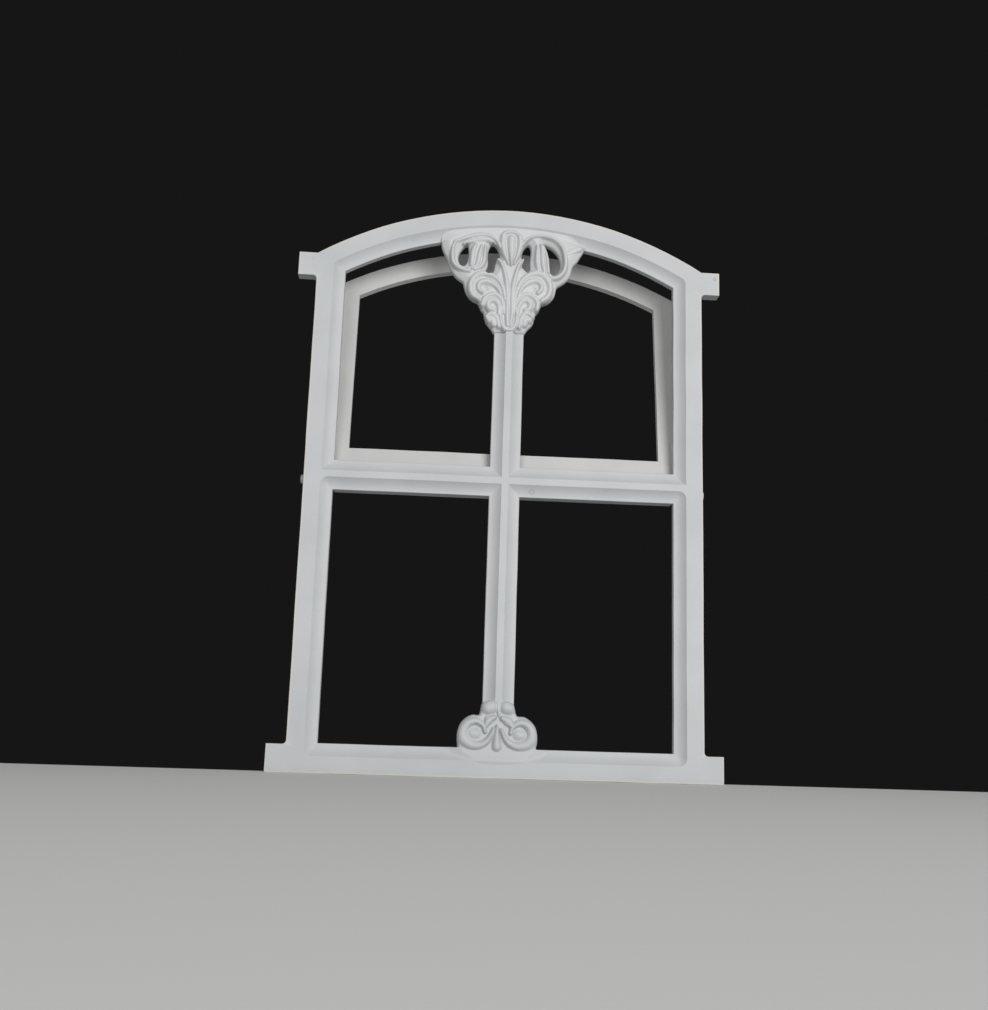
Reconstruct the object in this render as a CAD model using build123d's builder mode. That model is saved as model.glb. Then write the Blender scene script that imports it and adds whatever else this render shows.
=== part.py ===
from build123d import *
import math
import os

# Outline of the casting
jamb_span = 500.0
spring_height = 653.4
head_rise = 72.6
lug_reach = 23.5
sill_lug_height = 33.0
head_lug_height = 30.7
lug_fillet = 5.0

# Section of the bars
face_width = 36.0
sill_face = 35.0
bar_width = 38.0
transom_centre = 362.7
moulding_width = 14.75
cove_depth = 7.5
cove_radius = 7.0
cove_corner = 2.5
flange_depth = 16.5

# Ribs on the back
rib_width = 12.0
rib_depth = 11.5
glazing_rib_width = 8.0
glazing_rib_depth = 8.0
transom_rib_gap = 1.5

# Vent sash and its hinge
sash_lean = 9.0
sash_depth = 9.0
sash_overlap = 9.5
sash_stile = 25.5
sash_head = 26.0
sash_rail = 28.3
sash_rail_lap = 9.0
sash_clearance = 0.5
hinge_drop = 3.7
barrel_diameter = 15.0
barrel_length = 24.0
barrel_clearance = 1.0
ear_radius = 11.0
pin_diameter = 8.0
pin_clearance = 0.25
pin_reach = 20.0
pin_head_diameter = 11.0
pin_head_length = 5.5

# Crest ornament: points give distance from the centre line and height against the lip crown
crest_drop = 131.0
crest_set = 3.0
crest_wing_top = 92.5
crest_edge = [
    ((90.0, -18.0), (83.0, -33.0)),
    ((76.0, -50.5), (61.5, -63.0)),
    ((54.0, -81.0), (41.0, -89.5)),
    ((38.5, -97.0), (33.5, -103.5)),
    ((30.0, -117.0), (19.0, -crest_drop)),
]
crest_holes = [
    [(-57.0, -12.0), (-66.0, -20.0), (-68.5, -34.0), (-63.5, -40.0), (-58.0, -36.0), (-55.5, -24.0)],
    [(-23.5, -8.5), (-30.5, -23.0), (-32.0, -43.0), (-28.0, -52.5), (-20.0, -46.0), (-16.0, -25.0)],
    [(22.0, -7.0), (25.5, -20.0), (25.0, -39.0), (22.0, -45.0), (17.0, -40.0), (14.5, -24.0)],
    [(42.0, -6.5), (58.0, -15.0), (65.0, -33.0), (59.5, -46.5), (52.0, -43.0), (49.0, -26.0)],
]
ridge_radius = 4.0
ridge_sides = 4
crest_ridges = [
    [(16.0, -9.0), (26.0, 1.0), (42.0, 4.5), (66.0, -12.0), (70.5, -38.0), (55.0, -56.0)],
    [(5.0, -88.0), (10.5, -67.5), (22.0, -55.5), (43.0, -57.0), (47.5, -73.0), (36.0, -79.5), (31.0, -70.0)],
    [(5.5, -110.0), (8.0, -96.0), (17.0, -88.5), (28.0, -93.0), (24.0, -103.0)],
    [(37.0, -10.0), (38.0, -28.0), (43.5, -45.0)],
    [(7.0, 3.0), (11.0, -16.0), (4.0, -42.0)],
]
crest_tongue_width = 7.0
crest_tongue_top = -55.0
crest_tongue_foot = -122.0
crest_tongue_proud = 4.0

# Foot ornament: points give distance from the centre line and height against the sill lip
foot_disc = (24.5, 16.0)
foot_disc_radius = 23.5
foot_scroll = [(4.0, 26.0), (12.0, 9.0), (27.0, 1.5), (41.0, 15.0), (28.0, 29.5), (19.0, 19.0)]
foot_scroll_radius = 4.5
foot_taper = 35.0
foot_bulb = (9.5, 45.0)
foot_bulb_radius = 10.0
foot_drop_radius = 5.0
foot_drop_length = 28.0
foot_relief = 4.5
foot_top = 54.0
foot_set = 2.5

# Sizes that follow from the ones above
tolerance = 0.01
half_span = jamb_span / 2
lug_half = half_span + lug_reach
head_lug_low = spring_height - head_lug_height
frame_depth = flange_depth + rib_depth
front_y = -frame_depth / 2
back_y = front_y + flange_depth
lip_y = front_y + cove_depth
crown_height = spring_height + head_rise
head_radius = (half_span**2 + head_rise**2) / (2 * head_rise)
head_centre = crown_height - head_radius
lip_half = half_span - face_width
lip_radius = head_radius - face_width
lip_crown = crown_height - face_width
bar_half = bar_width / 2
transom_low = transom_centre - bar_half
transom_top = transom_centre + bar_half
bead_half = bar_half - moulding_width
pocket_half = lip_half + moulding_width
pocket_sill = sill_face - moulding_width
pocket_top = transom_low + moulding_width
pocket_low = transom_top - moulding_width
mullion_top = lip_crown - crest_drop
cove_foot = moulding_width - cove_radius
pocket_corner = cove_radius + cove_corner
crest_radius = lip_radius + cove_foot
bead_low = sill_face + foot_top
foot_half = foot_disc[0] + foot_disc_radius
hinge_height = transom_centre - hinge_drop
hinge_y = back_y + barrel_clearance + barrel_diameter / 2
ear_inner = half_span - rib_width
sash_half = lip_half + sash_overlap
sash_inner = sash_half - sash_stile
sash_radius = lip_radius + sash_overlap
sash_low = transom_top - sash_rail_lap
glazing_rib_top = transom_low + glazing_rib_width

front = Plane.XZ.offset(-front_y)
flange_back = Plane.XZ.offset(-back_y)
lean = math.radians(sash_lean)
hinge_plane = Plane(
    (0, hinge_y, hinge_height), x_dir=(1, 0, 0), z_dir=(0, -math.cos(lean), math.sin(lean))
)
sash_face = hinge_plane.offset(hinge_y - back_y - sash_clearance)
crest_face = front.offset(-crest_set)
foot_face = front.offset(-foot_set)


def arch_height(x, radius):
    return head_centre + math.sqrt(radius**2 - x**2)


def draw_arched(x_one, x_two, low, radius, datum=0.0):
    one = (x_one, arch_height(x_one, radius) - datum)
    two = (x_two, arch_height(x_two, radius) - datum)
    middle = (x_one + x_two) / 2
    Polyline(one, (x_one, low - datum), (x_two, low - datum), two)
    ThreePointArc(two, (middle, arch_height(middle, radius) - datum), one)


def draw_square(x_one, x_two, low, top):
    Polyline((x_one, low), (x_two, low), (x_two, top), (x_one, top), close=True)


def placed(points, datum, side=1):
    return [(side * x, datum + z) for x, z in points]


def draw_ridge(points):
    start, over, end, *rest = points
    arc = ThreePointArc(start, over, end)
    for point in rest:
        arc = TangentArc(arc @ 1, point, tangent=arc % 1)


def sweep_ridge(face, points, radius):
    with BuildLine(face) as path:
        draw_ridge(points)
    spine = path.wire()
    with BuildSketch(Plane(spine @ 0, x_dir=face.z_dir, z_dir=spine % 0)) as section:
        RegularPolygon(radius, ridge_sides)
    sweep(section.sketch, path=spine)


os.makedirs("parts", exist_ok=True)

with BuildPart() as window_frame:
    with BuildSketch(front):
        with BuildLine():
            Polyline(
                (0, 0),
                (lug_half, 0),
                (lug_half, sill_lug_height),
                (half_span, sill_lug_height),
                (half_span, head_lug_low),
                (lug_half, head_lug_low),
                (lug_half, spring_height),
                (half_span, spring_height),
            )
            mirror(about=Plane.YZ)
            ThreePointArc((-half_span, spring_height), (0, crown_height), (half_span, spring_height))
        make_face()
    extrude(amount=-flange_depth)
    lug_corners = window_frame.edges().filter_by(Axis.Y).filter_by(
        lambda e: abs(abs(e.center().X) - half_span) < tolerance and e.center().Z < head_lug_low + tolerance
    )
    fillet(lug_corners, lug_fillet)
    # Moulded pockets round the lower lights and the upper opening, each with the mullion bead left in
    with BuildSketch(front) as pocket:
        with BuildLine():
            draw_square(-pocket_half, pocket_half, pocket_sill, pocket_top)
        make_face()
        fillet(pocket.vertices(), pocket_corner)
        with BuildLine():
            draw_square(-bead_half, bead_half, bead_low, pocket_top)
        make_face(mode=Mode.SUBTRACT)
    extrude(amount=-cove_depth, mode=Mode.SUBTRACT)
    with BuildSketch(front) as pocket:
        with BuildLine():
            draw_arched(-pocket_half, pocket_half, pocket_low, lip_radius + moulding_width)
        make_face()
        fillet(pocket.vertices().group_by(Axis.Y)[-1], pocket_corner)
        with BuildLine():
            draw_square(-bead_half, bead_half, pocket_low, mullion_top)
        make_face(mode=Mode.SUBTRACT)
    extrude(amount=-cove_depth, mode=Mode.SUBTRACT)
    floors = window_frame.faces().filter_by(Axis.Y).filter_by_position(
        Axis.Y, lip_y - tolerance, lip_y + tolerance
    )
    fillet(floors.edges(), cove_radius)
    # Openings through the lip, the upper one with the stub of the mullion in it
    for side in (-1, 1):
        with BuildSketch(front):
            with BuildLine():
                draw_square(side * bar_half, side * lip_half, sill_face, transom_low)
            make_face()
        extrude(amount=-flange_depth, mode=Mode.SUBTRACT)
    with BuildSketch(front):
        with BuildLine():
            draw_arched(-lip_half, lip_half, transom_top, lip_radius)
        make_face()
        with BuildLine():
            draw_square(-bar_half, bar_half, transom_top, mullion_top)
        make_face(mode=Mode.SUBTRACT)
    extrude(amount=-flange_depth, mode=Mode.SUBTRACT)
    # Rib round the back and glazing ribs on the lower bars
    with BuildSketch(flange_back):
        with BuildLine():
            draw_arched(-half_span, half_span, 0, head_radius)
        make_face()
        with BuildLine():
            draw_arched(-ear_inner, ear_inner, rib_width, head_radius - rib_width)
        make_face(mode=Mode.SUBTRACT)
    extrude(amount=-rib_depth)
    with BuildSketch(flange_back):
        with BuildLine():
            draw_square(-glazing_rib_width / 2, glazing_rib_width / 2, rib_width, glazing_rib_top)
        make_face()
        with BuildLine():
            draw_square(-lip_half + transom_rib_gap, lip_half - transom_rib_gap, transom_low, glazing_rib_top)
        make_face()
    extrude(amount=-glazing_rib_depth)
    # Hinge ears on the jamb ribs
    for side in (-1, 1):
        with BuildSketch(Plane.YZ.offset(side * half_span)):
            with Locations((hinge_y, hinge_height)):
                Circle(ear_radius)
            with Locations(((back_y + hinge_y) / 2, hinge_height)):
                Rectangle(hinge_y - back_y, 2 * ear_radius)
        extrude(amount=-side * rib_width)
        with BuildSketch(Plane.YZ.offset(side * half_span)):
            with Locations((hinge_y, hinge_height)):
                Circle(pin_diameter / 2)
        extrude(amount=-side * rib_width, mode=Mode.SUBTRACT)

with BuildPart() as vent_sash:
    with BuildSketch(sash_face):
        with BuildLine():
            draw_arched(-sash_half, sash_half, sash_low, sash_radius, hinge_height)
        make_face()
        with BuildLine():
            draw_arched(-sash_inner, sash_inner, sash_low + sash_rail, sash_radius - sash_head, hinge_height)
        make_face(mode=Mode.SUBTRACT)
        # Legs down to the hinge line
        for side in (-1, 1):
            with BuildLine():
                draw_square(side * sash_half, side * (ear_inner - barrel_length), 0, sash_low - hinge_height)
            make_face()
    extrude(amount=-sash_depth)
    for side in (-1, 1):
        with BuildSketch(Plane.YZ.offset(side * (ear_inner - barrel_clearance))):
            with Locations((hinge_y, hinge_height)):
                Circle(barrel_diameter / 2)
        extrude(amount=-side * (barrel_length - barrel_clearance))
        with BuildSketch(Plane.YZ.offset(side * ear_inner)):
            with Locations((hinge_y, hinge_height)):
                Circle(pin_diameter / 2 + pin_clearance)
        extrude(amount=-side * (barrel_length + barrel_clearance), mode=Mode.SUBTRACT)

with BuildPart() as left_hinge_pin:
    with BuildSketch(Plane.YZ.offset(-half_span)):
        with Locations((hinge_y, hinge_height)):
            Circle(pin_diameter / 2)
    extrude(amount=rib_width + pin_reach)
    with BuildSketch(Plane.YZ.offset(-half_span)):
        with Locations((hinge_y, hinge_height)):
            Circle(pin_head_diameter / 2)
    extrude(amount=-pin_head_length)

with BuildPart() as right_hinge_pin:
    add(mirror(left_hinge_pin.part, about=Plane.YZ, mode=Mode.PRIVATE))

with BuildPart() as crest_ornament:
    with BuildSketch(crest_face):
        with BuildLine():
            start = (crest_wing_top, arch_height(crest_wing_top, crest_radius))
            over = (crest_wing_top / 2, arch_height(crest_wing_top / 2, crest_radius))
            ThreePointArc((0, head_centre + crest_radius), over, start)
            for over, end in crest_edge:
                arc = ThreePointArc(start, *placed([over, end], lip_crown))
                start = arc @ 1
            Line(start, (0, mullion_top))
            mirror(about=Plane.YZ)
        make_face()
        for hole in crest_holes:
            one, over_one, two, over_two, three, over_three = placed(hole, lip_crown)
            with BuildLine():
                ThreePointArc(one, over_one, two)
                ThreePointArc(two, over_two, three)
                ThreePointArc(three, over_three, one)
            make_face(mode=Mode.SUBTRACT)
    extrude(amount=crest_set - flange_depth)
    for side in (-1, 1):
        for ridge in crest_ridges:
            sweep_ridge(crest_face, placed(ridge, lip_crown, side), ridge_radius)
    with BuildSketch(crest_face):
        with Locations((0, lip_crown + (crest_tongue_top + crest_tongue_foot) / 2)):
            SlotOverall(crest_tongue_top - crest_tongue_foot, crest_tongue_width, rotation=90)
    extrude(amount=crest_tongue_proud)
    add(window_frame.part, mode=Mode.SUBTRACT)

with BuildPart() as foot_ornament:
    with BuildSketch(foot_face):
        for side in (-1, 1):
            with Locations((side * foot_disc[0], sill_face + foot_disc[1])):
                Circle(foot_disc_radius)
            with BuildLine():
                draw_square(0, side * foot_half, sill_face - cove_foot, sill_face + foot_disc[1])
            make_face()
            with BuildLine():
                draw_square(0, side * bar_half, sill_face, bead_low)
            make_face()
    extrude(amount=foot_set - flange_depth)
    for side in (-1, 1):
        sweep_ridge(foot_face, placed(foot_scroll, sill_face, side), foot_scroll_radius)
        with BuildSketch(foot_face):
            with Locations((side * foot_bulb[0], sill_face + foot_bulb[1])):
                Circle(foot_bulb_radius)
        extrude(amount=foot_relief, taper=foot_taper)
    with BuildSketch(foot_face):
        with Locations((0, sill_face + foot_drop_length / 2 - cove_foot)):
            SlotOverall(foot_drop_length, 2 * foot_drop_radius, rotation=90)
    extrude(amount=foot_relief)
    add(window_frame.part, mode=Mode.SUBTRACT)

for name, piece in (
    ("window_frame", window_frame),
    ("crest_ornament", crest_ornament),
    ("foot_ornament", foot_ornament),
    ("vent_sash", vent_sash),
    ("left_hinge_pin", left_hinge_pin),
    ("right_hinge_pin", right_hinge_pin),
):
    piece.part.label = name
    export_step(piece.part, "parts/" + name + ".step")
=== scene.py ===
import math

import bmesh
import bpy
import numpy as np
from mathutils import Matrix, Vector, noise
from mathutils.geometry import delaunay_2d_cdt


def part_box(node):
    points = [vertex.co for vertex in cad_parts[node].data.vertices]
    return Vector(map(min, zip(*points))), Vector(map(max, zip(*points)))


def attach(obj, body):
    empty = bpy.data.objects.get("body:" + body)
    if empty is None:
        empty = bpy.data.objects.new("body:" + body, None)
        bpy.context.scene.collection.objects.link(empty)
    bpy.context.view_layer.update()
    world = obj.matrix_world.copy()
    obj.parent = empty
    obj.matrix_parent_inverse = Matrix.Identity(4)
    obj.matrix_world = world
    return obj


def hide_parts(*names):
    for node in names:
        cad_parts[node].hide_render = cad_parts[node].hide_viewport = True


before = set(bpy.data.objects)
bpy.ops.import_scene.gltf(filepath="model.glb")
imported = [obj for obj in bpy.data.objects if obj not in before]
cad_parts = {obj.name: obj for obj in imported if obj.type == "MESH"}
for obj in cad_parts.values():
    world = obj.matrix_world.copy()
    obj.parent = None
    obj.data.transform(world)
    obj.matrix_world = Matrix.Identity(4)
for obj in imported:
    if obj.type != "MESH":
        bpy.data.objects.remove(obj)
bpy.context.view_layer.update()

# Sizes below are in millimetres, as in a workshop drawing, and become metres where meshes are made
MM = 0.001
frame_low, frame_high = [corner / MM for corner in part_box("window_frame")]
front_y = frame_low.y
crown = frame_high.z
face_width = 36.0
sill_face = 35.0
moulding_width = 14.75
spring_drop = 72.6
half_span = 250.0
flange_depth = 16.5
cove_depth = 7.5
cove_corner = 9.5
bar_width = 38.0
transom_centre = 362.7
bead_low = 89.0
mullion_top = 559.0
rim_width = 2.5
front_wear = 0.9
sill_lug = 33.0
head_lug = 30.7
head_radius = (half_span**2 + spring_drop**2) / (2 * spring_drop)
head_centre = crown - head_radius
lip_crown = crown - face_width
lip_radius = head_radius - face_width
back_y = front_y + flange_depth
spring = crown - spring_drop
bead_half = bar_width / 2 - moulding_width
pocket_half = half_span - face_width + moulding_width
pocket_sill = sill_face - moulding_width
pocket_radius = lip_radius + moulding_width
back_inset = 0.6
relief_back = back_y - back_inset

# Fineness of the meshes and how near counts as on
LONGEST = 14.0
COVE_GRID = 1.8
CELL_CLEAR = 0.6
CHORD_GAP = 1.0
POCKET_NEAR = 1.5
SEAM = 0.15
WELD = 0.02
CLOSE = 0.01
MERGE = 1e-5
FAR = 99.0
FLAT_ANGLE = math.radians(0.5)
SHARP_ANGLE = math.radians(35)
SPLIT_ROUNDS = 8

# Waviness of the castings: waves per metre and size, for the long and the short waves
LONG_SWAY = (18.0, 0.35)
SHORT_SWAY = (60.0, 0.08)
SWAY_SHIFTS = (0.0, 31.0, 62.0)
SWAY_OUT = 0.6

# Section of a carved stroke and rounding of the carved edges
STROKE_POWER = 2.2
STROKE_REACH = 1.3
EDGE_ROUND = 2.0

# Relief is built from rounded strokes: points, radius at start, middle and end, and height at the ridge.
# Points give distance from the centre line and height against the lip crown, or for the foot the sill lip.
CREST_GRID = 0.75
CREST_FLOOR = -2.1
CREST_LOW = -1.8
CREST_BLEND = 2.8
CREST_TOP = 13.6
CREST_TOP_STEPS = 90
HOLE_SLOPE, HOLE_REACH = 6.0, 8.0
SIDE_SLOPE, SIDE_REACH, SIDE_POWER = 6.5, 11.0, 1.3
WING_RIGHT, WING_RIGHT_RUN = 58.0, 34.0
WING_LEFT, WING_LEFT_RUN = 70.0, 26.0
WING_RISE = 6.0
WING_SINK = 0.3
crest_outline_right = [
    [(94.0, 2.0), (96.5, -6.0), (95.5, -12.0), (91.5, -19.0), (87.0, -27.0), (82.0, -33.0),
     (80.0, -39.0), (78.5, -46.0), (74.5, -53.0), (68.5, -58.5), (61.0, -63.5)],
    [(60.0, -67.0), (57.5, -77.0), (51.0, -85.0), (41.0, -90.0)],
    [(40.0, -92.0), (38.0, -98.0), (33.5, -103.5)],
    [(33.0, -108.0), (30.0, -117.0), (24.0, -124.0), (19.5, -131.0)],
]
crest_outline_left = [
    [(-91.5, 3.0), (-91.5, -13.0), (-88.5, -22.0), (-83.5, -32.0), (-79.0, -45.0), (-72.0, -55.5),
     (-61.5, -63.5)],
    [(-60.5, -68.0), (-57.5, -77.0), (-51.0, -85.5), (-41.5, -90.5)],
    [(-40.0, -94.0), (-37.5, -99.0), (-33.5, -104.0)],
    [(-33.0, -109.0), (-30.0, -117.0), (-24.0, -124.5), (-20.0, -131.0)],
]
crest_holes = [
    [(-57.0, -12.0), (-62.0, -14.5), (-66.5, -21.0), (-69.0, -29.0), (-67.5, -37.0), (-62.0, -40.5),
     (-57.5, -36.0), (-55.5, -24.0)],
    [(-23.5, -8.5), (-28.5, -13.0), (-30.5, -24.0), (-30.0, -38.0), (-33.0, -49.0), (-28.0, -52.0),
     (-22.5, -46.0), (-20.0, -35.0), (-14.8, -26.0), (-18.0, -14.0)],
    [(22.0, -7.0), (25.5, -12.0), (25.5, -23.0), (24.5, -32.0), (25.0, -41.0), (22.0, -45.0),
     (17.0, -41.0), (14.5, -37.0), (16.5, -31.0), (13.5, -24.0), (16.5, -13.0)],
    [(42.0, -6.5), (50.0, -8.5), (58.0, -14.5), (63.5, -24.0), (65.0, -36.0), (61.0, -45.0),
     (56.0, -47.5), (51.0, -42.0), (49.5, -30.0), (46.5, -18.0)],
]
crest_strokes = [
    # Palmette with its cap and side petals
    ([(-0.5, -3.0), (-0.3, -14.0), (0.0, -28.0), (0.0, -40.0)], (6.2, 5.2, 1.2), 3.2),
    ([(-11.0, 0.0), (-11.5, -11.0), (-9.0, -24.0), (-4.0, -38.0)], (4.4, 4.0, 1.4), 2.0),
    ([(10.5, 0.0), (11.0, -11.0), (8.5, -24.0), (4.0, -38.0)], (4.0, 3.6, 1.4), 2.0),
    ([(-12.5, 0.0), (-9.0, 5.0), (-2.0, 6.8), (6.0, 5.5), (10.5, 0.0)], (2.2, 3.0, 2.2), 1.2),
    # Two blades that rise from the tongue, part under the palmette and curl into the inner holes
    ([(-19.5, -30.0), (-12.5, -38.5), (-7.5, -53.0), (-4.6, -69.0), (-3.8, -87.0), (-3.8, -107.0),
      (-2.8, -123.0)], (2.0, 4.0, 2.6), 2.2),
    ([(16.0, -31.5), (10.0, -39.5), (6.4, -52.0), (3.2, -69.0), (2.4, -87.0), (2.4, -107.0),
      (1.2, -123.0)], (2.0, 3.8, 2.6), 2.2),
    # Right C scroll and leaf
    ([(14.0, -11.0), (18.5, -4.0), (27.0, 1.5), (38.0, 3.0), (50.0, 1.5), (60.0, -3.5), (67.0, -12.0),
      (70.5, -24.0), (71.0, -36.0), (68.0, -46.0), (61.0, -53.0), (52.0, -55.5)], (1.8, 2.8, 2.8), 1.6),
    ([(34.0, -11.0), (33.6, -24.0), (33.8, -34.0), (35.5, -45.0)], (2.0, 3.0, 2.2), 1.2),
    ([(39.0, -9.0), (40.4, -22.0), (41.4, -35.0), (43.5, -48.0)], (2.2, 3.4, 2.6), 1.8),
    ([(42.0, -11.0), (46.0, -22.0), (47.8, -34.0), (48.5, -46.0)], (1.6, 2.4, 2.2), 0.8),
    ([(72.0, -20.0), (80.0, -15.0), (90.0, -11.5)], (1.6, 3.0, 2.0), -1.2),
    # Left C scroll and leaf
    ([(-15.0, -15.0), (-20.0, -6.0), (-30.0, 0.0), (-42.0, 0.8), (-54.0, -1.8), (-65.0, -6.5),
      (-75.0, -11.0)], (1.8, 2.8, 1.8), 0.8),
    ([(-21.0, -12.0), (-29.0, -6.2), (-40.0, -5.4), (-51.0, -8.0), (-62.0, -12.0)],
      (1.8, 2.8, 1.8), 0.4),
    ([(-72.0, -9.0), (-76.0, -17.0), (-77.0, -28.0), (-75.5, -38.0), (-71.0, -44.5), (-63.0, -48.5),
      (-54.0, -50.5)], (1.8, 2.8, 2.6), 1.6),
    ([(-46.0, -12.0), (-49.5, -20.0), (-50.6, -31.0), (-51.5, -42.0)], (2.0, 3.4, 2.6), 1.4),
    ([(-39.0, -14.0), (-41.5, -25.0), (-42.6, -35.0), (-46.0, -43.5), (-51.0, -47.0)],
      (1.8, 3.6, 1.8), 1.8),
    ([(-34.5, -14.0), (-34.8, -26.0), (-36.0, -36.5), (-40.0, -44.0), (-47.0, -48.0)],
      (1.6, 2.6, 1.6), 1.0),
    # Upper scrolls, outer band and coil
    ([(5.0, -88.0), (8.5, -73.0), (14.0, -61.0), (22.0, -53.0), (32.0, -49.0), (42.0, -51.0),
      (49.0, -59.0), (51.5, -70.0), (48.5, -80.0), (41.0, -86.5)], (1.6, 4.0, 3.2), 1.4),
    ([(10.0, -82.0), (15.0, -70.0), (23.0, -62.5), (32.0, -59.5), (39.0, -63.0), (40.0, -71.0),
      (35.5, -76.5)], (1.8, 4.6, 2.6), 2.2),
    ([(-7.0, -88.0), (-9.5, -74.0), (-14.5, -63.0), (-22.5, -56.0), (-33.0, -52.5), (-43.0, -54.5),
      (-50.0, -62.5), (-52.0, -73.0), (-49.0, -82.0), (-42.0, -87.5)], (1.6, 4.0, 3.2), 1.4),
    ([(-12.0, -82.0), (-16.5, -72.5), (-24.0, -66.0), (-33.0, -63.5), (-40.5, -67.0), (-41.5, -74.5),
      (-36.5, -79.0)], (1.8, 4.6, 2.6), 2.2),
    # Lower scrolls
    ([(4.0, -108.0), (5.5, -95.0), (9.0, -86.0), (15.5, -80.5), (23.5, -79.0), (31.0, -83.0),
      (35.5, -90.5), (35.0, -98.0)], (1.6, 3.2, 3.0), 1.2),
    ([(9.5, -108.0), (11.0, -96.0), (15.5, -88.5), (21.5, -87.0), (26.0, -91.5), (25.0, -98.5),
      (20.0, -101.0)], (2.6, 3.8, 3.4), 1.8),
    ([(-8.0, -106.0), (-9.0, -95.0), (-12.5, -86.0), (-19.0, -81.0), (-26.5, -82.0), (-33.0, -87.0),
      (-36.0, -95.0)], (1.6, 3.2, 3.0), 1.2),
    ([(-14.5, -108.0), (-14.5, -97.0), (-18.0, -90.5), (-23.5, -89.0), (-28.5, -93.0), (-27.0, -100.0),
      (-21.5, -102.0)], (2.6, 3.8, 3.4), 1.8),
    # Third scrolls
    ([(12.5, -124.0), (14.5, -113.0), (18.5, -106.0), (24.5, -105.0), (29.5, -109.0)],
      (2.2, 2.8, 2.6), 0.8),
    ([(19.0, -120.0), (20.5, -113.0), (25.0, -113.5)], (3.0, 3.6, 3.2), 0.4),
    ([(-14.0, -124.0), (-16.5, -114.0), (-20.5, -108.5), (-26.5, -108.5), (-30.0, -112.0)],
      (2.2, 2.8, 2.6), 0.8),
    ([(-20.0, -121.0), (-22.5, -114.5), (-26.5, -115.5)], (3.0, 3.4, 3.0), 0.2),
    # Cup round the foot of the tongue
    ([(7.0, -98.0), (8.8, -110.0), (7.8, -120.0), (3.5, -127.0), (-1.0, -128.5), (-6.0, -127.0),
      (-10.5, -120.0), (-12.0, -110.0), (-11.0, -98.0)], (2.0, 3.0, 2.0), 1.4),
]
crest_pits = [((30.0, -71.0), 3.2, 2.4), ((-32.5, -73.0), 3.2, 2.4)]

FOOT_GRID = 0.6
FOOT_FLOOR = -2.5
FOOT_LOW = -2.6
FOOT_BLEND = 1.6
FOOT_REACH, FOOT_DROP = 5.0, 5.5
foot_outline = [
    (-47.5, 0.0), (-48.5, 10.0), (-48.0, 19.0), (-45.0, 28.0), (-39.0, 35.0), (-31.0, 39.0),
    (-23.5, 39.0), (-21.5, 43.0), (-20.5, 49.0), (-18.5, 53.5), (-10.0, 56.5), (-2.0, 57.5),
    (4.0, 57.0), (11.0, 55.5), (18.0, 52.5), (20.0, 47.0), (22.0, 41.0), (24.5, 38.5), (32.0, 38.0),
    (39.0, 34.0), (45.0, 27.0), (47.5, 18.0), (48.0, 9.0), (47.0, 0.0),
]
SKIRT_HALF = 62.0
SKIRT_DROP = 20.5
SKIRT_TOP = -1.5
SKIRT_STEPS = 60
SKIRT_SOFT = 0.35
SKIRT_SINK = 0.2
SKIRT_SWELL, SKIRT_POWER = 1.2, 1.5
foot_strokes = [
    # Broad rims of the two scrolls, running in towards the drop
    ([(-15.0, 19.0), (-18.0, 27.0), (-27.0, 31.5), (-36.5, 28.0), (-41.5, 19.0), (-40.5, 11.0),
      (-34.0, 5.0), (-24.0, 3.0), (-15.0, 6.5), (-9.0, 13.5), (-5.0, 23.0)], (2.6, 7.6, 2.4), 2.6),
    ([(15.5, 18.0), (18.5, 26.0), (27.0, 30.5), (36.0, 27.5), (41.0, 19.0), (40.0, 11.0), (34.0, 5.0),
      (24.0, 3.0), (15.0, 6.0), (9.0, 12.0), (4.0, 22.0)], (2.6, 7.6, 2.4), 2.6),
    # Bosses in the bowls
    ([(-30.0, 17.0), (-26.0, 17.0)], (6.5, 7.0, 6.5), 0.8),
    ([(24.5, 16.5), (28.5, 17.0)], (6.5, 7.0, 6.5), 0.8),
    # Bulbs above the scrolls and their lower lobes
    ([(-12.0, 47.5), (-9.0, 48.5)], (8.5, 9.0, 8.5), 3.4),
    ([(9.0, 48.5), (12.5, 47.5)], (8.0, 8.5, 8.0), 3.2),
    ([(-4.5, 36.5), (-11.0, 33.0), (-14.5, 26.5)], (3.5, 6.0, 3.2), 2.8),
    ([(5.0, 35.5), (12.5, 31.5), (17.5, 25.5)], (3.5, 6.4, 3.2), 2.8),
    # Drop between the scrolls
    ([(-1.0, 27.0), (-1.2, 16.0), (-1.0, 7.0), (-0.5, 2.0)], (1.4, 4.6, 6.4), 2.8),
    # End of the bead of the mullion
    ([(0.0, 60.0), (0.0, 48.0), (1.0, 38.0)], (4.4, 3.6, 1.6), 0.6),
]
foot_pits = [((-26.5, 24.0), 4.0, 1.4), ((30.5, 22.5), 4.5, 1.6)]

# Small marks in the paint of the frame: place, ring radius, width of the line and strength
frame_marks = [
    ((34.0, front_y + 6.5, 351.4), 3.0, 1.2, 0.45),
    ((267.5, front_y, 644.6), 1.6, 1.2, 0.55),
    ((-255.7, front_y, 645.4), 0.0, 1.8, 0.2),
    ((-252.7, front_y, 635.2), 0.0, 1.8, 0.2),
]


def smooth_line(points, steps=8, closed=False):
    """Curve through the points."""
    p = np.array(points, float)
    if closed:
        p = np.vstack([p[-1:], p, p[:2]])
    else:
        p = np.vstack([2 * p[0] - p[1], p, 2 * p[-1] - p[-2]])
    t = np.linspace(0, 1, steps, endpoint=False)[:, None]
    spans = [
        0.5 * (2 * b + (c - a) * t + (2 * a - 5 * b + 4 * c - d) * t**2 + (3 * b - a - 3 * c + d) * t**3)
        for a, b, c, d in zip(p, p[1:], p[2:], p[3:])
    ]
    return np.vstack(spans if closed else spans + [p[-2:-1]])


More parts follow.
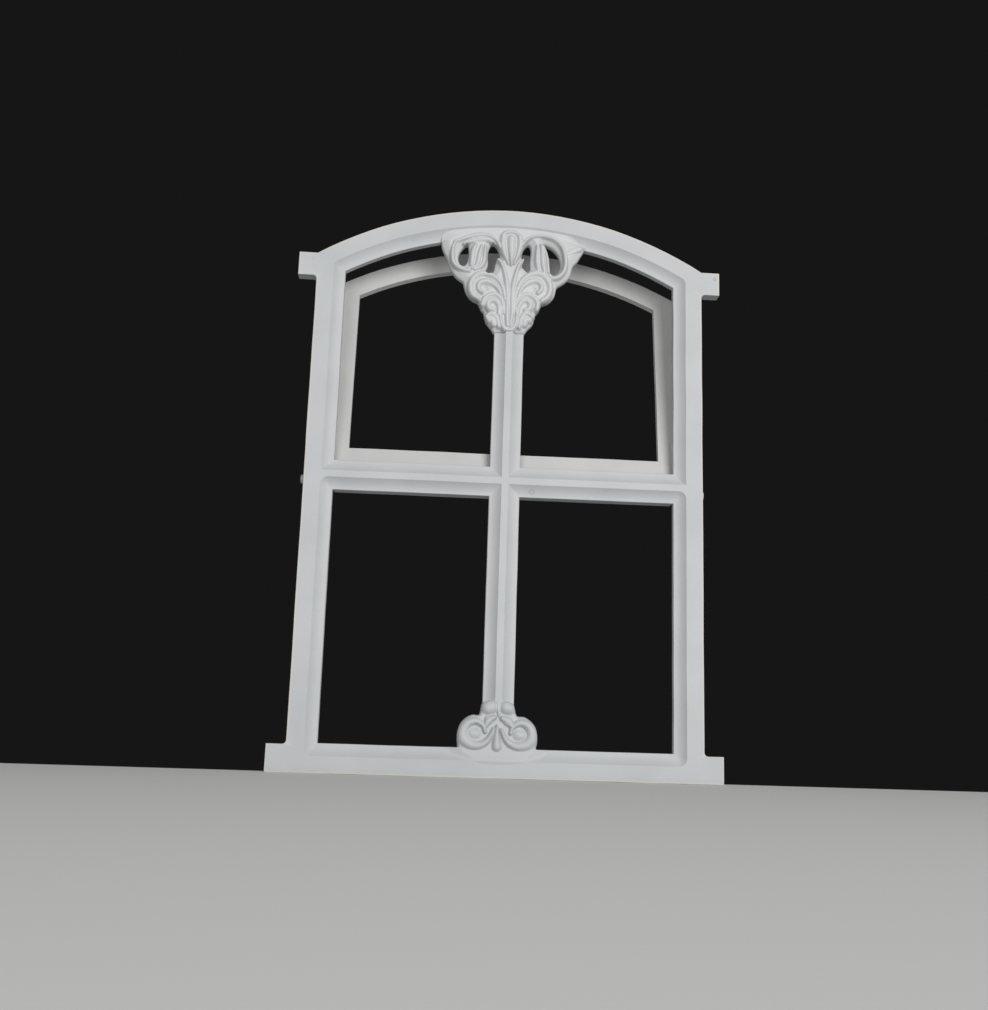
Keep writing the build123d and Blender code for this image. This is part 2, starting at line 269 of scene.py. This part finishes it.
def nearest(line, points):
    """Distance from each point to the line, and how far along the line that is, from 0 to 1."""
    start, step = line[:-1], np.diff(line, axis=0)
    length = np.linalg.norm(step, axis=1)
    reached = np.concatenate([[0], np.cumsum(length)])
    best = np.full(len(points), np.inf)
    share = np.zeros(len(points))
    for a, d, size, before in zip(start, step, length, reached):
        t = np.clip(((points - a) @ d) / size**2, 0, 1)
        gap = np.linalg.norm(points - a - t[:, None] * d, axis=1)
        closer = gap < best
        best[closer] = gap[closer]
        share[closer] = (before + t * size)[closer] / reached[-1]
    return best, share


def soft_max(a, b, blend):
    """Higher of two heights, with the valley between them filled over the blend."""
    near = np.maximum(blend - np.abs(a - b), 0) / blend
    return np.maximum(a, b) + near**2 * blend / 4


def soft_step(share):
    """Share from 0 to 1 that starts and ends gently."""
    share = np.clip(share, 0, 1)
    return share * share * (3 - 2 * share)


def stroke_height(points, line, radii, top, low):
    """Height of one rounded stroke, from the low level at its sides to the top on its ridge."""
    gap, share = nearest(smooth_line(line), points)
    radius = np.interp(share, (0, 0.5, 1), radii)
    swell = 1 - (gap / radius) ** STROKE_POWER
    return np.where(gap < radius * STROKE_REACH, low + (top - low) * swell, -FAR)


def round_off(gap, reach, drop):
    """Fall of a rounded edge, from nothing at the reach to the whole drop at the edge."""
    inward = np.clip(1 - gap / reach, 0, 1)
    return drop * (1 - np.sqrt(1 - inward**2))


def carved(points, floor, strokes, pits, low, blend):
    """Height of the carved face in front of the frame's face."""
    height = floor
    for line, radii, top in strokes:
        height = soft_max(height, stroke_height(points, line, radii, top, low), blend)
    for centre, radius, depth in pits:
        gap = np.linalg.norm(points - np.array(centre), axis=1)
        height = height - depth * np.exp(-((gap / radius) ** 2))
    return height


def odd_crossings(points, starts, ends):
    """Whether each point is inside the region that the edges bound."""
    x, z = points.T
    count = np.zeros(len(points), int)
    for (ax, az), (bx, bz) in zip(starts, ends):
        crosses = (az > z) != (bz > z)
        with np.errstate(divide="ignore", invalid="ignore"):
            at = ax + (z - az) * (bx - ax) / (bz - az)
        count += crosses & (x < at)
    return count % 2 == 1


def hex_cells(low, high, grid):
    """Points of a grid with every other row shifted by half a cell."""
    xs = np.arange(low[0], high[0], grid)
    zs = np.arange(low[1], high[1], grid)
    cells = np.stack(np.meshgrid(xs, zs), -1).reshape(-1, 2)
    rows = np.round((cells[:, 1] - low[1]) / grid).astype(int)
    cells[:, 0] += (rows % 2) * grid / 2
    return cells


def triangulate(flat, edges, starts, ends):
    """Points and triangles inside the border, and for each point the given points that it came from."""
    points, _, faces, origins, *_ = delaunay_2d_cdt([Vector(p) for p in flat], edges, [], 1, MERGE)
    points = np.array(points)
    inside = odd_crossings(np.array([points[list(f)].mean(0) for f in faces]), starts, ends)
    return points, [f for f, keep in zip(faces, inside) if keep], origins


def carve(name, loops, grid, shape, datum):
    """Closed mesh with a carved front and a flat back, cut to the loops: the outline first, then holes."""
    cells = hex_cells(loops[0].min(0), loops[0].max(0), grid)
    edge_lines = [np.vstack([loop, loop[:1]]) for loop in loops]
    gap = np.min([nearest(line, cells)[0] for line in edge_lines], axis=0)
    cells = cells[gap > grid * CELL_CLEAR]
    corners, edges = [], []
    for loop in loops:
        first = len(corners)
        corners += list(map(tuple, loop))
        edges += [(first + i, first + (i + 1) % len(loop)) for i in range(len(loop))]
    ends = np.vstack([np.roll(loop, -1, axis=0) for loop in loops])
    points, faces, _ = triangulate(corners + list(cells), edges, np.vstack(loops), ends)
    rim_gap, *hole_gaps = [nearest(line, points)[0] for line in edge_lines]
    height = shape(points, rim_gap, np.min(hole_gaps, axis=0) if hole_gaps else None)
    mesh = bmesh.new()
    front = [
        mesh.verts.new((x * MM, (front_y - h) * MM, (z + datum) * MM))
        for (x, z), h in zip(points, height)
    ]
    for a, b, c in faces:
        mesh.faces.new((front[a], front[c], front[b]))
    mesh.normal_update()
    if sum(f.normal.y for f in mesh.faces) > 0:
        bmesh.ops.reverse_faces(mesh, faces=mesh.faces)
    rim = [e for e in mesh.edges if e.is_boundary]
    walls = bmesh.ops.extrude_edge_only(mesh, edges=rim)["geom"]
    for v in walls:
        if isinstance(v, bmesh.types.BMVert):
            v.co.y = relief_back * MM
    back = [e for e in walls if isinstance(e, bmesh.types.BMEdge) and e.is_boundary]
    bmesh.ops.triangle_fill(mesh, edges=back, use_beauty=True, use_dissolve=False)
    loose = [v for v in mesh.verts if not v.link_faces]
    bmesh.ops.delete(mesh, geom=loose, context="VERTS")
    bmesh.ops.recalc_face_normals(mesh, faces=mesh.faces)
    return to_object(name, mesh)


def to_object(name, mesh):
    """Smoothly shaded object of a mesh, in the scene."""
    data = bpy.data.meshes.new(name)
    mesh.to_mesh(data)
    mesh.free()
    data.shade_smooth()
    piece = bpy.data.objects.new(name, data)
    bpy.context.scene.collection.objects.link(piece)
    return piece


def crest_loops():
    """Outline of the crest, closed by an arc over the lip of the head, and its holes."""
    right = np.vstack([smooth_line(part) for part in crest_outline_right])
    left = np.vstack([smooth_line(part) for part in crest_outline_left])
    x = np.linspace(left[0][0], right[0][0], CREST_TOP_STEPS)[1:-1]
    arc = np.sqrt((lip_radius + CREST_TOP) ** 2 - x**2) - lip_radius
    top = np.stack([x, arc], 1)
    outline = np.vstack([top, right, left[::-1]])
    return [outline] + [smooth_line(hole, closed=True) for hole in crest_holes]


def crest_shape(points, rim_gap, hole_gap):
    """Leaves and scrolls that slope to the rim and holes, with wings that die into the head moulding."""
    x, z = points.T
    above = np.hypot(x, z + lip_radius) - lip_radius
    rim_gap = np.where(above > 0, FAR, rim_gap)
    hole_slope = HOLE_SLOPE * np.clip(1 - hole_gap / HOLE_REACH, 0, 1)
    side_slope = SIDE_SLOPE * np.clip(1 - rim_gap / SIDE_REACH, 0, 1) ** SIDE_POWER
    floor = CREST_FLOOR - (hole_slope + side_slope)
    height = carved(points, floor, crest_strokes, crest_pits, CREST_LOW, CREST_BLEND)
    moulding = -cove_depth * (1 - np.clip(above / moulding_width, 0, 1) ** 2) - WING_SINK
    wing = np.where(x > 0, (x - WING_RIGHT) / WING_RIGHT_RUN, (-x - WING_LEFT) / WING_LEFT_RUN)
    fade = soft_step(wing) * np.clip(above / WING_RISE, 0, 1)
    height = height + (moulding - height) * fade
    return height - round_off(np.minimum(rim_gap, hole_gap), EDGE_ROUND, EDGE_ROUND)


def foot_loops():
    """Outline of the foot: the scrolls above the sill lip and half an ellipse below it."""
    turn = np.linspace(0, math.pi, SKIRT_STEPS)
    drop = SKIRT_TOP - (SKIRT_DROP + SKIRT_TOP) * np.sin(turn)
    skirt = np.stack([SKIRT_HALF * np.cos(turn), drop], 1)
    return [np.vstack([smooth_line(foot_outline), skirt])]


def foot_shape(points, rim_gap, hole_gap):
    """Scrolls above the sill lip, and below it a skirt that dies away into the moulding of the sill."""
    x, z = points.T
    down = np.clip(-z / moulding_width, 0, 1)
    moulding = -cove_depth * (1 - down**2) - SKIRT_SINK
    spread = soft_step((1 - np.hypot(x / SKIRT_HALF, z / SKIRT_DROP)) / SKIRT_SOFT)
    swollen = FOOT_FLOOR * (1 - down**SKIRT_POWER) + SKIRT_SWELL * down
    skirt = moulding + (swollen - moulding) * spread
    floor = np.where(z <= 0, skirt, FOOT_FLOOR - round_off(rim_gap, FOOT_REACH, FOOT_DROP))
    height = carved(points, floor, foot_strokes, foot_pits, FOOT_LOW, FOOT_BLEND)
    return height - np.where(z <= 0, 0, round_off(rim_gap, EDGE_ROUND, EDGE_ROUND))


def is_flush_point(place):
    """Whether a point lies in the front plane of the frame."""
    return abs(place.y / MM - front_y) < CLOSE


def is_flush(part):
    """Whether a face or edge lies in the front plane of the frame."""
    return all(is_flush_point(v.co) for v in part.verts)


def rounded(gap_one, gap_two):
    """Distance from the nearer of two edges that meet in a rounded corner."""
    one, two = cove_corner - gap_one, cove_corner - gap_two
    return cove_corner - math.hypot(one, two) if one > 0 and two > 0 else min(gap_one, gap_two)


def arch_gap(x, z):
    """Distance from the jamb and arch sides of the upper pocket, with their corner rounded."""
    centre_x = pocket_half - cove_corner
    centre_z = head_centre + math.sqrt((pocket_radius - cove_corner) ** 2 - centre_x**2)
    across, up = x - centre_x, z - centre_z
    if up > 0 and across * (centre_z - head_centre) > up * centre_x:
        return cove_corner - math.hypot(across, up)
    return min(pocket_half - x, pocket_radius - math.hypot(x, z - head_centre))


def pocket_gap(place):
    """Distance of a point in a moulded pocket from the edge of the pocket, below nothing outside it."""
    x, z = abs(place.x / MM), place.z / MM
    bar_gap = abs(z - transom_centre) - bead_half
    if z < transom_centre:
        edge = rounded(pocket_half - x, min(z - pocket_sill, bar_gap))
        past_bead = max(bead_low - z, 0.0)
    else:
        edge = min(arch_gap(x, z), bar_gap)
        past_bead = max(z - mullion_top, 0.0)
    bead = math.hypot(max(x - bead_half, 0.0), past_bead) if past_bead else x - bead_half
    return min(edge, bead)


def to_pocket_edge(place):
    """Move that takes a front point on a straight facet of a curved pocket edge out onto the curve."""
    gap = pocket_gap(place)
    if not -SEAM < gap < CHORD_GAP:
        return Vector()
    step = CLOSE * MM
    across, up = Vector((step, 0, 0)), Vector((0, 0, step))
    slope_x = pocket_gap(place + across) - pocket_gap(place - across)
    slope_z = pocket_gap(place + up) - pocket_gap(place - up)
    return Vector((slope_x, 0, slope_z)).normalized() * -gap * MM


def is_sharp(edge):
    """Whether the faces at an edge meet too steeply to be shaded as one."""
    return len(edge.link_faces) == 2 and edge.calc_face_angle(0) > SHARP_ANGLE


def is_front_edge(edge):
    """Outer front edge of the frame, or front edge of a lip round an opening."""
    if is_flush(edge):
        return not all(abs(pocket_gap(v.co)) < POCKET_NEAR for v in edge.verts)
    return all(abs(v.co.y / MM - front_y - cove_depth) < CLOSE for v in edge.verts)


def is_moulding(place):
    """Whether a point is on the edge of a moulded pocket or down in it, but not past its lip."""
    gap = pocket_gap(place)
    if is_flush_point(place):
        return abs(gap) < SEAM
    return gap > -SEAM and place.y / MM - front_y < cove_depth + CLOSE


def is_mullion_end(face):
    """Whether a face is the plain end of the mullion behind the crest."""
    return all(abs(v.co.z / MM - mullion_top) < CLOSE for v in face.verts)


def mitres():
    """Lines where two straight mouldings meet, from the corner of the pocket towards that of the lip."""
    steps = np.arange(COVE_GRID, moulding_width - front_wear - COVE_GRID / 2, COVE_GRID)[:, None]
    corners = [
        ((bead_half, -bead_half), (1, -1)),
        ((bead_half, bead_half), (1, 1)),
        ((pocket_half, bead_half), (-1, 1)),
    ]
    for side in (-1, 1):
        for (x, z), (across, up) in corners:
            yield np.array([side * x, transom_centre + z]) + steps * np.array([side * across, up])


def is_recess(face):
    """Whether a face of the solid belongs to a moulded pocket and gives way to the curve."""
    if is_flush(face) or is_mullion_end(face):
        return False
    return all(is_moulding(v.co) for v in face.verts)


def remould(mesh):
    """Swap the facets of the moulded pockets for an even mesh over the curve of the moulding."""
    for v in mesh.verts:
        if is_flush_point(v.co):
            v.co += to_pocket_edge(v.co)
    old = [f for f in mesh.faces if is_recess(f)]
    going = set(old)
    border = [e for e in mesh.edges if len(going.intersection(e.link_faces)) == 1]
    rim = list(dict.fromkeys(v for e in border for v in e.verts))
    number = {v: i for i, v in enumerate(rim)}
    edges = [tuple(number[v] for v in e.verts) for e in border]
    corners = np.array([(v.co.x / MM, v.co.z / MM) for v in rim])
    starts, ends = (corners[[pair[k] for pair in edges]] for k in (0, 1))
    cells = hex_cells(corners.min(0), corners.max(0), COVE_GRID)
    cells = cells[odd_crossings(cells, starts, ends)]
    lines = list(mitres())
    clear = [nearest(np.array(pair), cells)[0] for pair in zip(starts, ends)]
    clear += [nearest(line, cells)[0] for line in lines]
    cells = cells[np.min(clear, axis=0) > COVE_GRID * CELL_CLEAR]
    flat = list(corners)
    for line in lines:
        edges += [(len(flat) + i, len(flat) + i + 1) for i in range(len(line) - 1)]
        flat += list(line)
    points, faces, origins = triangulate(flat + list(cells), edges, starts, ends)
    bmesh.ops.delete(mesh, geom=old, context="FACES")
    made = {}
    for i in sorted({i for f in faces for i in f}):
        known = [k for k in origins[i] if k < len(rim)]
        made[i] = rim[known[0]] if known else mesh.verts.new(cove_point(*points[i]))
    for f in faces:
        mesh.faces.new([made[i] for i in f])
    bmesh.ops.recalc_face_normals(mesh, faces=mesh.faces)


def cove_point(x, z):
    """Point of the moulding's hollow curve, steep at the edge of the pocket and flat at the lip."""
    share = pocket_gap(Vector((x, 0, z)) * MM) / moulding_width
    flat = 1 - min(max(share, 0.0), 1.0)
    return Vector((x, front_y + cove_depth * (1 - flat**2), z)) * MM


def rim_share(place):
    """How close a point of the front is to the outer edge of the frame: 1 on it, 0 at the rim's width."""
    x, z = abs(place.x / MM), place.z / MM
    if x > half_span:
        inside = min(frame_high.x - x, spring - z if z > spring / 2 else z)
    elif z > spring:
        inside = head_radius - math.hypot(x, z - head_centre)
    else:
        inside = min(half_span - x, z) if is_jamb(z) else z
    on_front = max(0.0, 1.0 - (place.y / MM - front_y) / front_wear)
    return max(0.0, min(1.0, 1.0 - inside / rim_width)) * on_front


def is_jamb(z):
    """Whether a height is between the lugs of the sill and those of the head."""
    return sill_lug < z < spring - head_lug


def sway(place, pace, size):
    """Slight waviness of a casting, weaker to the front and back."""
    spot = place * pace
    across, out, up = (size * noise.noise(spot + Vector((shift, 0, 0))) for shift in SWAY_SHIFTS)
    return Vector((across, out * SWAY_OUT, up)) * MM


def cast_copy(node, name):
    """Copy of a solid with the softened edges and slight waviness of a painted casting."""
    mesh = bmesh.new()
    mesh.from_mesh(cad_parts[node].data)
    bmesh.ops.remove_doubles(mesh, verts=mesh.verts, dist=WELD * MM)
    bmesh.ops.dissolve_limit(mesh, angle_limit=FLAT_ANGLE, verts=mesh.verts, edges=mesh.edges)
    face_plates = [f for f in mesh.faces if is_flush(f)]
    if face_plates:
        bmesh.ops.inset_region(mesh, faces=face_plates, thickness=rim_width * MM, use_even_offset=True)
    worn = [e for e in mesh.edges if is_sharp(e) and is_front_edge(e)]
    bmesh.ops.bevel(mesh, geom=worn, offset=front_wear * MM, segments=3, profile=0.5, affect="EDGES")
    bmesh.ops.triangulate(mesh, faces=mesh.faces)
    for _ in range(SPLIT_ROUNDS):
        long = [e for e in mesh.edges if e.calc_length() > LONGEST * MM]
        if not long:
            break
        bmesh.ops.subdivide_edges(mesh, edges=long, cuts=1)
        bmesh.ops.triangulate(mesh, faces=mesh.faces)
    if node == "window_frame":
        remould(mesh)
    rim = mesh.verts.layers.float.new("rim")
    for v in mesh.verts:
        v[rim] = rim_share(v.co) if node == "window_frame" else 0.0
        v.co += sway(v.co, *LONG_SWAY) + sway(v.co, *SHORT_SWAY)
    for e in mesh.edges:
        e.smooth = not is_sharp(e)
    piece = to_object(name, mesh)
    piece.modifiers.new("even_shading", "WEIGHTED_NORMAL").keep_sharp = True
    return piece


def paint(name, colour, tint, rough, hollow_shade_share, marks=()):
    """White paint on cast iron, with painted shade that darkens the hollows, and cream where the outer
    edge is worn.
    """
    material = bpy.data.materials.new(name)
    material.use_nodes = True
    nodes, links = material.node_tree.nodes, material.node_tree.links
    shader = nodes["Principled BSDF"]
    shader.inputs["Specular IOR Level"].default_value = 0.35
    shader.inputs["Roughness"].default_value = rough
    place = nodes.new("ShaderNodeTexCoord").outputs["Object"]

    patches = nodes.new("ShaderNodeTexNoise")
    patches.inputs["Scale"].default_value = 14.0
    patches.inputs["Detail"].default_value = 5.0
    links.new(place, patches.inputs["Vector"])
    shade = nodes.new("ShaderNodeValToRGB")
    shade.color_ramp.elements[0].position = 0.35
    shade.color_ramp.elements[0].color = (*tint, 1)
    shade.color_ramp.elements[1].position = 0.62
    shade.color_ramp.elements[1].color = (*colour, 1)
    links.new(patches.outputs["Fac"], shade.inputs["Fac"])

    # Painted shade: where ambient occlusion finds a hollow, the coat is mixed towards dark grey, standing
    # in for the shade that falls there
    hollow = nodes.new("ShaderNodeAmbientOcclusion")
    hollow.samples = 8
    hollow.inputs["Distance"].default_value = 0.012
    hollow_shade = nodes.new("ShaderNodeMapRange")
    hollow_shade.inputs["From Min"].default_value = 0.35
    hollow_shade.inputs["From Max"].default_value = 0.9
    hollow_shade.inputs["To Min"].default_value = hollow_shade_share
    hollow_shade.inputs["To Max"].default_value = 0.0
    links.new(hollow.outputs["AO"], hollow_shade.inputs["Value"])
    shaded_coat = nodes.new("ShaderNodeMix")
    shaded_coat.data_type = "RGBA"
    shaded_coat.inputs["B"].default_value = (0.30, 0.30, 0.295, 1)
    links.new(hollow_shade.outputs["Result"], shaded_coat.inputs["Factor"])
    links.new(shade.outputs["Color"], shaded_coat.inputs["A"])

    edge = nodes.new("ShaderNodeAttribute")
    edge.attribute_name = "rim"
    worn = nodes.new("ShaderNodeMix")
    worn.data_type = "RGBA"
    worn.inputs["B"].default_value = (0.70, 0.65, 0.56, 1)
    links.new(edge.outputs["Fac"], worn.inputs["Factor"])
    links.new(shaded_coat.outputs["Result"], worn.inputs["A"])
    coat = worn.outputs["Result"]
    for spot, radius, width, share in marks:
        coat = add_mark(nodes, links, place, coat, spot, radius, width, share)
    links.new(coat, shader.inputs["Base Color"])

    grain = nodes.new("ShaderNodeTexNoise")
    grain.inputs["Scale"].default_value = 160.0
    grain.inputs["Detail"].default_value = 3.0
    links.new(place, grain.inputs["Vector"])
    bump = nodes.new("ShaderNodeBump")
    bump.inputs["Strength"].default_value = 0.25
    bump.inputs["Distance"].default_value = 0.0006
    links.new(grain.outputs["Fac"], bump.inputs["Height"])
    links.new(bump.outputs["Normal"], shader.inputs["Normal"])
    return material


def add_mark(nodes, links, place, coat, spot, radius, width, share):
    """Dark ring in the paint round a spot, or a plain dark spot where the radius is nothing."""
    away = nodes.new("ShaderNodeVectorMath")
    away.operation = "DISTANCE"
    away.inputs[1].default_value = [value * MM for value in spot]
    links.new(place, away.inputs[0])
    off = nodes.new("ShaderNodeMath")
    off.operation = "SUBTRACT"
    off.inputs[1].default_value = radius * MM
    links.new(away.outputs["Value"], off.inputs[0])
    size = nodes.new("ShaderNodeMath")
    size.operation = "ABSOLUTE"
    links.new(off.outputs["Value"], size.inputs[0])
    fade = nodes.new("ShaderNodeMapRange")
    fade.inputs["From Max"].default_value = width * MM
    fade.inputs["To Min"].default_value = share
    fade.inputs["To Max"].default_value = 0.0
    links.new(size.outputs["Value"], fade.inputs["Value"])
    mix = nodes.new("ShaderNodeMix")
    mix.data_type = "RGBA"
    mix.inputs["B"].default_value = (0.20, 0.21, 0.23, 1)
    links.new(fade.outputs["Result"], mix.inputs["Factor"])
    links.new(coat, mix.inputs["A"])
    return mix.outputs["Result"]


def is_seen(nodes, links):
    """Whether a ray comes from the camera, from a reflection or through glass."""
    path = nodes.new("ShaderNodeLightPath")
    seen = path.outputs["Is Camera Ray"]
    for kind in ("Is Glossy Ray", "Is Transmission Ray"):
        either = nodes.new("ShaderNodeMath")
        either.operation = "MAXIMUM"
        links.new(seen, either.inputs[0])
        links.new(path.outputs[kind], either.inputs[1])
        seen = either.outputs["Value"]
    return seen


def floor_paint():
    """Pale floor to the camera, and a dark one to the light that would bounce up under the window."""
    material = bpy.data.materials.new("floor_pale")
    material.use_nodes = True
    nodes, links = material.node_tree.nodes, material.node_tree.links
    shader = nodes["Principled BSDF"]
    shader.inputs["Roughness"].default_value = 0.8
    mix = nodes.new("ShaderNodeMix")
    mix.data_type = "RGBA"
    mix.inputs["A"].default_value = (0.32, 0.32, 0.32, 1)
    mix.inputs["B"].default_value = (0.80, 0.80, 0.79, 1)
    links.new(is_seen(nodes, links), mix.inputs["Factor"])
    links.new(mix.outputs["Result"], shader.inputs["Base Color"])
    return material


def dress(piece, node, material):
    """Give a piece its paint and put it in the place of a solid."""
    piece.data.materials.clear()
    piece.data.materials.append(material)
    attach(piece, "root")
    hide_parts(node)


# The fifth value of each paint is how strongly painted shade darkens its hollows
frame_paint = paint("frame_paint", (0.545, 0.560, 0.568), (0.510, 0.525, 0.530), 0.55, 0.2, frame_marks)
# Painted light: the crest gets a lighter copy of the frame's white paint, so it reads brighter than the
# lamps alone would make it
ornament_paint = paint("ornament_paint", (0.600, 0.612, 0.615), (0.570, 0.582, 0.585), 0.5, 0.15)
foot_paint = paint("foot_paint", (0.552, 0.567, 0.575), (0.520, 0.535, 0.540), 0.55, 0.15)
sash_paint = paint("sash_paint", (0.560, 0.562, 0.553), (0.515, 0.517, 0.508), 0.6, 0.3)

dress(cast_copy("window_frame", "frame_casting"), "window_frame", frame_paint)
dress(cast_copy("vent_sash", "sash_casting"), "vent_sash", sash_paint)
for side in ("left", "right"):
    pin = cast_copy(side + "_hinge_pin", side + "_pin")
    dress(pin, side + "_hinge_pin", sash_paint)
crest = carve("crest_relief", crest_loops(), CREST_GRID, crest_shape, lip_crown)
dress(crest, "crest_ornament", ornament_paint)
foot = carve("foot_relief", foot_loops(), FOOT_GRID, foot_shape, sill_face)
dress(foot, "foot_ornament", foot_paint)


def add_floor():
    """Floor that ends just behind the window, so that the openings show the dark background."""
    width, near, far = 6.0, -1.45, 0.03
    data = bpy.data.meshes.new("floor")
    corners = [(-width, near, 0), (width, near, 0), (width, far, 0), (-width, far, 0)]
    data.from_pydata(corners, [], [range(len(corners))])
    floor = bpy.data.objects.new("floor", data)
    bpy.context.scene.collection.objects.link(floor)
    floor.data.materials.append(floor_paint())


def add_lamp(name, place, aim, size, power):
    """Square area lamp turned to the aim."""
    data = bpy.data.lights.new(name, "AREA")
    data.size = size
    data.energy = power
    lamp = bpy.data.objects.new(name, data)
    lamp.location = place
    lamp.rotation_euler = (Vector(aim) - Vector(place)).to_track_quat("-Z", "Y").to_euler()
    bpy.context.scene.collection.objects.link(lamp)


def add_world(ambient, background):
    """Even soft light on the window, and a dark background where the world itself is seen."""
    world = bpy.data.worlds.new("studio")
    bpy.context.scene.world = world
    world.use_nodes = True
    nodes, links = world.node_tree.nodes, world.node_tree.links
    soft = nodes["Background"]
    soft.inputs["Color"].default_value = (1, 1, 1, 1)
    soft.inputs["Strength"].default_value = ambient
    dark = nodes.new("ShaderNodeBackground")
    dark.inputs["Color"].default_value = (*background, 1)
    mix = nodes.new("ShaderNodeMixShader")
    links.new(is_seen(nodes, links), mix.inputs["Fac"])
    links.new(soft.outputs["Background"], mix.inputs[1])
    links.new(dark.outputs["Background"], mix.inputs[2])
    links.new(mix.outputs["Shader"], nodes["World Output"].inputs["Surface"])


def add_camera():
    """Camera low before the window and tilted up, as the photo sees it."""
    picture_height = 1010.0
    focal_pixels = 1150.0
    pitch, roll, turn = (math.radians(a) for a in (11.75, -1.74, -3.4))
    data = bpy.data.cameras.new("camera")
    data.sensor_width = 36.0
    data.lens = data.sensor_width * focal_pixels / picture_height
    camera = bpy.data.objects.new("camera", data)
    eye = Vector((-87.0, front_y - 1397.0, 40.0)) * MM
    turned = Matrix.Rotation(turn, 4, "Z") @ Matrix.Rotation(roll, 4, "Y")
    tilted = Matrix.Rotation(pitch + math.pi / 2, 4, "X")
    camera.matrix_world = Matrix.Translation(eye) @ turned @ tilted
    bpy.context.scene.collection.objects.link(camera)
    bpy.context.scene.camera = camera


add_floor()
window_middle = (0, 0, 0.36)
add_lamp("key", (1.6, -3.8, 0.95), window_middle, 2.2, 116.0)
add_lamp("fill", (-1.2, -3.6, 0.5), window_middle, 1.6, 32.0)
add_world(0.265, (0.008, 0.008, 0.0085))
add_camera()
bpy.context.scene.view_settings.view_transform = "Standard"
